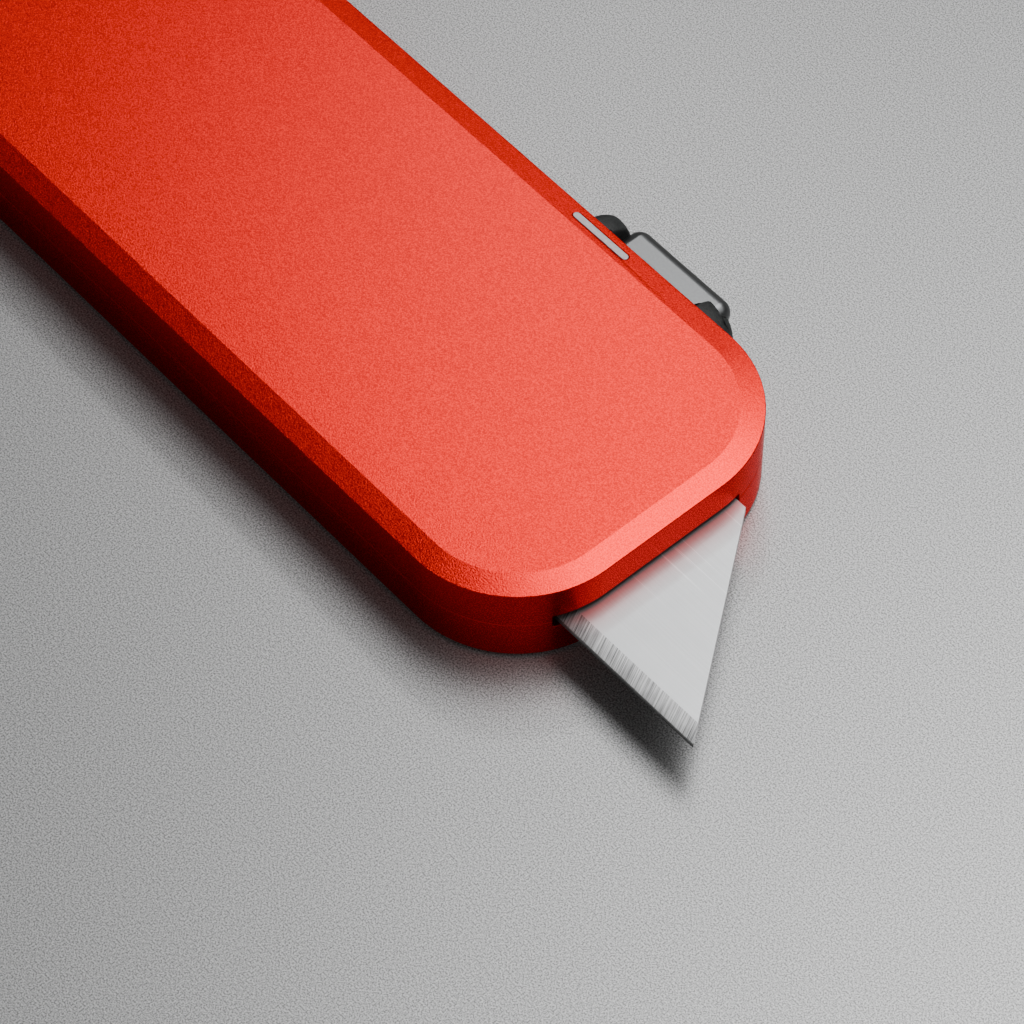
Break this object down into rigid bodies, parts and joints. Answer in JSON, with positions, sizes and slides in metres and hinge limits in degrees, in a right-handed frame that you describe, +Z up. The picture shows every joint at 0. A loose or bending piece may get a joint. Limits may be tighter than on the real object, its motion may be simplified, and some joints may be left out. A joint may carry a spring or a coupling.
{
  "type": "utility knife",
  "caption": "Slim sliding utility knife with a rounded flat metal body, a trapezoid blade and a side slider with a press-in brake button.",
  "frame": {"origin": "centre of the flat underside that the closed knife rests on", "axes": "+X along the body towards the blade's tip, +Y towards the slider's side, +Z up out of the face with the inlay"},
  "size_m": [0.1353, 0.0388, 0.0088],
  "materials": {
    "red_anodised": "bead-blasted and anodised red, satin",
    "inlay_metal": "pale matt metal inlay",
    "blade_steel": "fine brushed along the edge, ground across at the cutting edge",
    "plain_steel": "plain, lightly oiled",
    "magnet_plate": "nickel plated",
    "black_polymer": "black, finely textured",
    "satin_metal": "satin, with polished rounded edges",
    "guide_plastic": "black acetal, machined",
    "bumper_rubber": "black, matt",
    "screw_steel": "dark, machined"
  },
  "bodies": {
    "body": {"upper_shell": "red_anodised", "lower_shell": "red_anodised", "indicator_inlay": "inlay_metal", "brake_rail": "plain_steel", "rail_pin_front": "plain_steel", "rail_pin_rear": "plain_steel", "upper_guide": "guide_plastic", "lower_wear_plate": "plain_steel", "rear_bumper": "bumper_rubber", "body_screw_front_left": "screw_steel", "body_screw_front_right": "screw_steel", "body_screw_rear_left": "screw_steel", "body_screw_rear_right": "screw_steel", "dowel_pin_front": "plain_steel", "dowel_pin_rear": "plain_steel"},
    "slider": {"blade": "blade_steel", "blade_carrier": "plain_steel", "carrier_magnet_front": "magnet_plate", "carrier_magnet_rear": "magnet_plate", "carrier_screw_front": "plain_steel", "carrier_screw_rear": "plain_steel", "slider_base": "black_polymer", "button_spring_front": "plain_steel", "button_spring_rear": "plain_steel"},
    "button": {"slider_button": "satin_metal", "brake_shoe": "plain_steel"}
  },
  "joints": [
    {"name": "slider_slide", "type": "slide", "parent": "body", "child": "slider", "axis": [1, 0, 0], "range_m": [-0.017, 0]},
    {"name": "button_press", "type": "slide", "parent": "slider", "child": "button", "axis": [0, -1, 0], "range_m": [0, 0.0009], "stiffness_N_per_m": 1200, "springref_m": -0.0005, "deforming": ["button_spring_front", "button_spring_rear"]}
  ]
}
